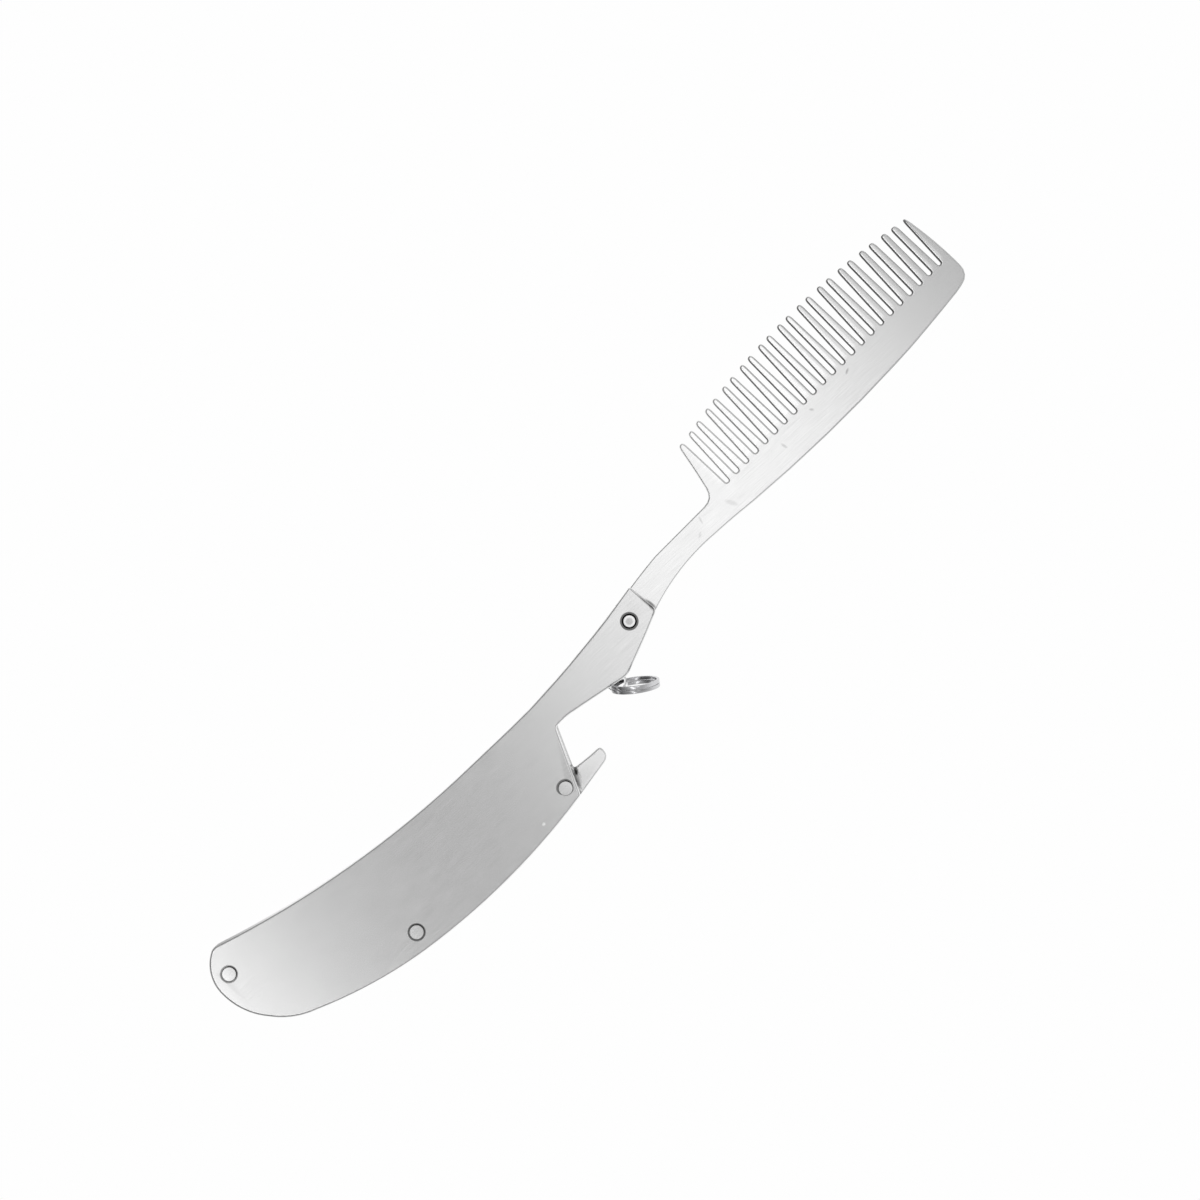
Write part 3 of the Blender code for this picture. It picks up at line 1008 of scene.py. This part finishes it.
@dataclass
class Rivets:
    """Rivets of one size: a shank with a shallow head at both ends."""

    name: str
    nodes: tuple[str, ...]
    finish: SteelFinish
    head_radius: float
    shank_radius: float = 0.7
    head_depth: float = 0.55
    rim_round: float = 0.08
    dome: float = 0.008
    dome_radius_share: float = 0.55
    dome_drop_share: float = 0.3
    rim_share: float = 0.3
    sides: int = 64
    sharp_angle: float = 15.0

    def half(self, height: float) -> list[tuple[float, float]]:
        """Radius and height of each step of half a head's outline, from its top down.

        Args:
            height: height of the head's top above the rivet's middle.

        Returns:
            Rows of (radius, height), from the axis to the shank.
        """
        head = self.head_radius
        rim = height - self.dome
        corner = self.rim_round * self.rim_share
        return [
            (0.0, height),
            (head * self.dome_radius_share, height - self.dome * self.dome_drop_share),
            (head - self.rim_round, rim),
            (head - corner, rim - corner),
            (head, rim - self.rim_round),
            (self.shank_radius, height - self.head_depth),
        ]

    def build(self) -> bpy.types.Object:
        """Spin the profile and set one copy on each rivet's place.

        Returns:
            One mesh with all rivets of this size.
        """
        boxes = [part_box(node) for node in self.nodes]
        middles = [(low + high) / 2 for low, high in boxes]
        low, high = (corner.z / MM for corner in boxes[0])
        middle = (low + high) / 2
        upper = self.half(high - middle)
        rows = [(radius, middle - height) for radius, height in upper]
        rows += [(radius, middle + height) for radius, height in reversed(upper)]
        carrier = bpy.data.meshes.new(f"{self.name}_places")
        carrier.from_pydata([(m.x, m.y, 0.0) for m in middles], [], [])
        maker = Tree(f"{self.name} on their places", {"Spin radius": self.head_radius * MM})
        tree = maker.start()
        given = add(tree, "NodeGroupInput")
        line = add(tree, "GeometryNodeMeshLine", {"Count": len(rows)})
        which = add(tree, "GeometryNodeInputIndex")
        spots = tree.nodes.new("GeometryNodeIndexSwitch")
        spots.data_type = "VECTOR"
        while len(spots.index_switch_items) < len(rows):
            spots.index_switch_items.new()
        tree.links.new(which.outputs[0], spots.inputs["Index"])
        for step, (radius, height) in enumerate(rows):
            across = (radius - self.head_radius) * MM
            spots.inputs[step + 1].default_value = (across, -height * MM, 0.0)
        shaped = add(
            tree, "GeometryNodeSetPosition",
            {"Geometry": line.outputs[0], "Position": spots.outputs[0]},
        )
        outline = add(tree, "GeometryNodeMeshToCurve", {0: shaped.outputs[0]})
        circle = add(
            tree, "GeometryNodeCurvePrimitiveCircle",
            {"Resolution": self.sides, "Radius": given.outputs["Spin radius"]},
        )
        spun = add(tree, "GeometryNodeCurveToMesh", {0: circle.outputs[0], 1: outline.outputs[0]})
        welded = add(
            tree, "GeometryNodeMergeByDistance",
            {"Geometry": spun.outputs[0], "Distance": WELD * MM},
        )
        copies = add(
            tree, "GeometryNodeInstanceOnPoints",
            {"Points": given.outputs[0], "Instance": welded.outputs[0]},
        )
        real = add(tree, "GeometryNodeRealizeInstances", {0: copies.outputs[0]})
        dressed = add(
            tree, "GeometryNodeSetMaterial",
            {0: real.outputs[0], "Material": self.finish.build()},
        )
        add(tree, "NodeGroupOutput", {0: dressed.outputs[0]})
        return maker.run(tree, carrier, f"{self.name}_dressed")

    def dress(self, rivets: bpy.types.Object) -> None:
        """Point the faces outwards, shade them and let the piece stand for the CAD rivets.

        Args:
            rivets: the piece with all rivets of this size.
        """
        face_outwards(rivets.data)
        rivets.data.shade_smooth()
        rivets.data.set_sharp_from_angle(angle=math.radians(self.sharp_angle))
        finished(rivets, "handle", set_material(rivets.data))
        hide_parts(*self.nodes)
        log.info("%s: %d set", self.name, len(self.nodes))


@dataclass
class KeyRing:
    """Split ring of flat spring wire: two turns side by side that cross over once.

    It leans in the opener plate's eye. Wire_radial and wire_axial are half the wire's own
    sizes, heading and lean are in degrees, and places along the wire are in turns.
    """

    radius: float = 3.85
    start_turn: float = 0.697
    wire_radial: float = 0.23
    wire_axial: float = 0.31
    wire_round: float = 0.09
    coil_offset: float = 0.34
    crossover_turns: float = 0.181
    end_gap_turns: float = 0.012
    heading: float = -34.6
    lean: float = 9.3
    steps: int = 220
    round_steps: int = 4
    sharp_angle: float = 50.0

    @property
    def turns(self) -> float:
        """Two turns, less the crossover and the gap between the wire's ends."""
        return 2 - self.crossover_turns - self.end_gap_turns

    def centre_line(self, tree: NodeTree, given: bpy.types.Node) -> Socket:
        """Bend a row of points into the two coils and their crossover.

        Args:
            tree: the ring's tree.
            given: its input node.

        Returns:
            Socket with the wire's centre line.
        """
        line = add(tree, "GeometryNodeMeshLine", {"Count": self.steps + 1})
        step = add(tree, "GeometryNodeInputIndex")
        turns = add(
            tree, "ShaderNodeMapRange",
            {
                "Value": step.outputs[0],
                "From Max": float(self.steps),
                "To Max": given.outputs["Turns"],
            },
        )
        shifted = add(
            tree, "ShaderNodeMath", {0: turns.outputs[0], 1: given.outputs["Start turn"]},
            operation="ADD",
        )
        angle = add(
            tree, "ShaderNodeMath", {0: shifted.outputs[0], 1: math.tau}, operation="MULTIPLY",
        )
        middle = self.turns / 2
        half = self.crossover_turns / 2
        rise = add(
            tree, "ShaderNodeMapRange",
            {
                "Value": turns.outputs[0],
                "From Min": middle - half,
                "From Max": middle + half,
                "To Min": self.coil_offset * MM,
                "To Max": -self.coil_offset * MM,
            },
            interpolation_type="SMOOTHSTEP",
        )
        across = add(tree, "ShaderNodeMath", {0: angle.outputs[0]}, operation="COSINE")
        along = add(tree, "ShaderNodeMath", {0: angle.outputs[0]}, operation="SINE")
        unit = add(tree, "ShaderNodeCombineXYZ", {"X": across.outputs[0], "Y": along.outputs[0]})
        wide = add(
            tree, "ShaderNodeVectorMath",
            {0: unit.outputs[0], "Scale": given.outputs["Ring radius"]}, operation="SCALE",
        )
        lift = add(tree, "ShaderNodeCombineXYZ", {"Z": rise.outputs[0]})
        spot = add(tree, "ShaderNodeVectorMath", {0: wide.outputs[0], 1: lift.outputs[0]})
        bent = add(
            tree, "GeometryNodeSetPosition",
            {"Geometry": line.outputs[0], "Position": spot.outputs[0]},
        )
        curve = add(tree, "GeometryNodeMeshToCurve", {0: bent.outputs[0]})
        upright = add(tree, "GeometryNodeSetCurveNormal", {0: curve.outputs[0]}, mode="Z_UP")
        return upright.outputs[0]

    def build(self) -> bpy.types.Object:
        """Wind the wire, stand the ring up and turn it to its heading.

        Returns:
            The ring, in its place.
        """
        eye = next(mount for mount in frame["record"]["mounts"] if mount["name"] == "key_ring")
        maker = Tree("wound split ring", {
            "Ring radius": self.radius * MM,
            "Turns": self.turns,
            "Start turn": self.start_turn,
            "Wire width": 2 * self.wire_radial * MM,
            "Wire height": 2 * self.wire_axial * MM,
        })
        tree = maker.start()
        given = add(tree, "NodeGroupInput")
        wire = add(
            tree, "GeometryNodeCurvePrimitiveQuadrilateral",
            {"Width": given.outputs["Wire width"], "Height": given.outputs["Wire height"]},
        )
        rounded = add(
            tree, "GeometryNodeFilletCurve",
            {
                "Curve": wire.outputs[0],
                "Count": self.round_steps,
                "Radius": self.wire_round * MM,
            },
            mode="POLY",
        )
        tube = add(
            tree, "GeometryNodeCurveToMesh",
            {0: self.centre_line(tree, given), 1: rounded.outputs[0], "Fill Caps": True},
        )
        real = add(tree, "GeometryNodeRealizeInstances", {0: tube.outputs[0]})
        dressed = add(
            tree, "GeometryNodeSetMaterial",
            {0: real.outputs[0], "Material": RING_STEEL.build()},
        )
        add(tree, "NodeGroupOutput", {0: dressed.outputs[0]})
        ring = maker.run(tree, bpy.data.meshes.new("ring_place"), "key_ring_dressed")
        turn = Matrix.Rotation(math.radians(self.heading), 4, "Z")
        stand = Matrix.Rotation(math.radians(90 + self.lean), 4, "X")
        ring.data.transform(Matrix.Translation(eye["pos_m"]) @ turn @ stand)
        return ring

    def dress(self, ring: bpy.types.Object) -> None:
        """Point the faces outwards, shade the wire and let it stand for the CAD ring.

        Args:
            ring: the finished ring.
        """
        face_outwards(ring.data)
        ring.data.shade_smooth()
        ring.data.set_sharp_from_angle(angle=math.radians(self.sharp_angle))
        finished(ring, "handle", set_material(ring.data))
        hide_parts("key_ring")


@dataclass(frozen=True)
class Softbox:
    """A wide lamp above the table that the steel mirrors as a bright band."""

    name: str
    x: float
    width: float
    power: float
    depth: float = 900.0
    height: float = 1200.0

    def build(self) -> None:
        """Hang the lamp, facing down."""
        lamp = bpy.data.lights.new(self.name, "AREA")
        lamp.shape = "RECTANGLE"
        lamp.size = self.width * MM
        lamp.size_y = self.depth * MM
        lamp.energy = self.power
        holder = bpy.data.objects.new(self.name, lamp)
        bpy.context.collection.objects.link(holder)
        holder.location = place(self.x, 0.0, self.height)


@dataclass
class Studio:
    """White light table, softboxes, a grey room and the camera straight above.

    Image_up is the direction on the table that points up in the picture. Side_reach is how
    far towards the window or away from it the room reaches its full tone.
    """

    table_half: float = 2000.0
    table_colour: str = "#fefefe"
    view_centre: tuple[float, float] = (-1.2, 5.9)
    view_width: float = 200.0
    camera_height: float = 400.0
    focus_height: float = 3.0
    image_up: tuple[float, float] = (0.6756, 0.7373)
    sensor: float = 36.0
    nearest: float = 10.0
    ceiling: str = "#b2b2b2"
    window_side: str = "#fefefe"
    dark_side: str = "#383838"
    ceiling_height: float = 0.9
    window_direction: tuple[float, float, float] = (0.95, -0.31, 0.0)
    side_reach: float = 0.6
    softboxes: tuple[Softbox, ...] = (
        Softbox("softbox over the comb", 95.0, 320.0, 0.79),
        Softbox("softbox beyond the tail", -490.0, 280.0, 1.28),
    )

    def table(self) -> None:
        """Lay the light table, whose own glow leaves no shadow."""
        half = self.table_half * MM
        corners = [(-half, -half, 0), (half, -half, 0), (half, half, 0), (-half, half, 0)]
        mesh = bpy.data.meshes.new("light_table")
        mesh.from_pydata(corners, [], [(0, 1, 2, 3)])
        table = bpy.data.objects.new("light_table", mesh)
        bpy.context.collection.objects.link(table)
        material = bpy.data.materials.new("opal glass of the light table")
        material.use_nodes = True
        shader = material.node_tree.nodes["Principled BSDF"]
        shader.inputs["Base Color"].default_value = (0, 0, 0, 1)
        shader.inputs["Roughness"].default_value = 1.0
        shader.inputs["Specular IOR Level"].default_value = 0.0
        shader.inputs["Emission Color"].default_value = linear(self.table_colour)
        shader.inputs["Emission Strength"].default_value = 1.0
        mesh.materials.append(material)

    def room(self) -> None:
        """Light the room: grey above, pale on the window's side and dark on the other."""
        world = bpy.data.worlds.new("grey room")
        bpy.context.scene.world = world
        world.use_nodes = True
        tree = world.node_tree
        background = tree.nodes["Background"]
        direction = add(tree, "ShaderNodeTexCoord").outputs["Generated"]
        split = add(tree, "ShaderNodeSeparateXYZ", {0: direction})
        height = add(
            tree, "ShaderNodeMapRange",
            {"Value": split.outputs["Z"], "From Max": self.ceiling_height},
        )
        towards = add(
            tree, "ShaderNodeVectorMath", {0: direction, 1: self.window_direction},
            operation="DOT_PRODUCT",
        )
        side = add(
            tree, "ShaderNodeMapRange",
            {
                "Value": towards.outputs["Value"],
                "From Min": -self.side_reach,
                "From Max": self.side_reach,
            },
        )
        walls = add(
            tree, "ShaderNodeMix",
            {
                0: side.outputs[0],
                FIRST_COLOUR: linear(self.dark_side),
                SECOND_COLOUR: linear(self.window_side),
            },
            data_type="RGBA",
        )
        room = add(
            tree, "ShaderNodeMix",
            {
                0: height.outputs[0],
                FIRST_COLOUR: walls.outputs[MIXED_COLOUR],
                SECOND_COLOUR: linear(self.ceiling),
            },
            data_type="RGBA",
        )
        tree.links.new(room.outputs[MIXED_COLOUR], background.inputs["Color"])

    def camera(self) -> None:
        """Hang the camera straight above the picture's middle."""
        lens = bpy.data.cameras.new("camera")
        lens.sensor_width = self.sensor
        lens.lens = self.sensor * self.camera_height / self.view_width
        lens.clip_start = self.nearest * MM
        holder = bpy.data.objects.new("camera", lens)
        bpy.context.collection.objects.link(holder)
        up = Vector((*self.image_up, 0)).normalized()
        right = up.cross(Vector((0, 0, 1)))
        spot = place(*self.view_centre, self.focus_height + self.camera_height)
        turned = Matrix((right, up, Vector((0, 0, 1)))).transposed().to_4x4()
        holder.matrix_world = Matrix.Translation(spot) @ turned
        bpy.context.scene.camera = holder

    def build(self) -> None:
        """Set the whole stage."""
        self.table()
        self.room()
        for softbox in self.softboxes:
            softbox.build()
        self.camera()
        bpy.context.scene.view_settings.view_transform = "Standard"
        log.info("studio: table, room, %d softboxes and camera", len(self.softboxes))


def main() -> None:
    """Build every piece and the studio."""
    logging.basicConfig(level=logging.INFO, format="%(name)s: %(message)s")
    Studio().build()
    Handle().build()
    Comb().build()
    for rivets in (
        Rivets("pivot_rivet", ("rivet_pivot",), PIVOT_STEEL, head_radius=1.02),
        Rivets(
            "handle_rivets", ("rivet_opener", "rivet_middle", "rivet_tail"), RIVET_STEEL,
            head_radius=1.2,
        ),
    ):
        rivets.dress(rivets.build())
    ring = KeyRing()
    ring.dress(ring.build())
    log.info("key_ring: wound %.2f times", ring.turns)


if __name__ == "__main__":
    main()
